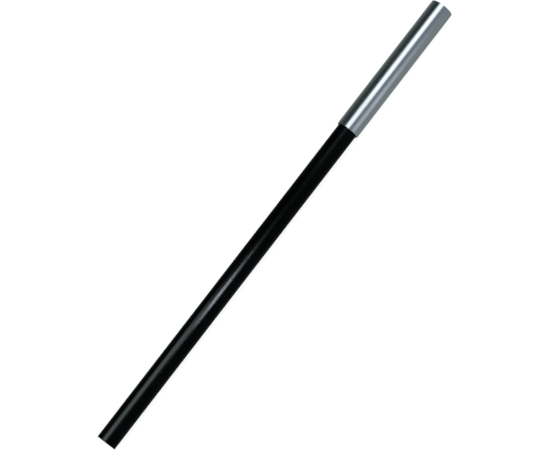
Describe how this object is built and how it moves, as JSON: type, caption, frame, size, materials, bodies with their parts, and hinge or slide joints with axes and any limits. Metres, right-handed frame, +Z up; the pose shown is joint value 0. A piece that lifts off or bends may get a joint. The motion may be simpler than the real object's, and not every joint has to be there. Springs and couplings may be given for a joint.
{
  "type": "roller extension pole",
  "caption": "Straight telescopic pole for a paint roller: a black tube that slides in a bright handle tube and locks with a twist.",
  "frame": {"origin": "on the ground, under the middle of the stored pole as it lies", "axes": "+X along the pole from the roller end to the handle, +Z up"},
  "size_m": [0.571, 0.0252, 0.0253],
  "materials": {
    "bright_aluminium": "polished, with fine lines along the tube",
    "black_coating": "satin",
    "black_plastic": "moulded, matt",
    "natural_nylon": "moulded, satin",
    "black_rubber": "matt",
    "zinc_steel": "zinc plated"
  },
  "bodies": {
    "pole": {"pole_tube": "black_coating", "roller_end_plug": "black_plastic", "lock_pin": "zinc_steel", "lock_body": "natural_nylon", "cam_washer": "zinc_steel", "cam_screw": "zinc_steel"},
    "glide": {"glide_ring": "natural_nylon"},
    "handle": {"handle_tube": "bright_aluminium", "guide_bush": "black_plastic", "handle_plug": "black_plastic"},
    "cam": {"lock_cam": "natural_nylon", "drag_ring": "black_rubber"}
  },
  "joints": [
    {"name": "twist", "type": "hinge", "parent": "pole", "child": "glide", "pos_m": [0.2475, 0, 0.01264], "axis": [1, 0, 0], "range_deg": [-35, 35]},
    {"name": "extend", "type": "slide", "parent": "glide", "child": "handle", "axis": [1, 0, 0], "range_m": [0, 0.1]},
    {"name": "cam_turn", "type": "hinge", "parent": "pole", "child": "cam", "pos_m": [0.2585, -0.00005, 0.01314], "axis": [1, 0, 0], "range_deg": [-35, 35]}
  ],
  "couplings": [
    {"joint": "cam_turn", "follows": "twist", "ratio": 1}
  ]
}
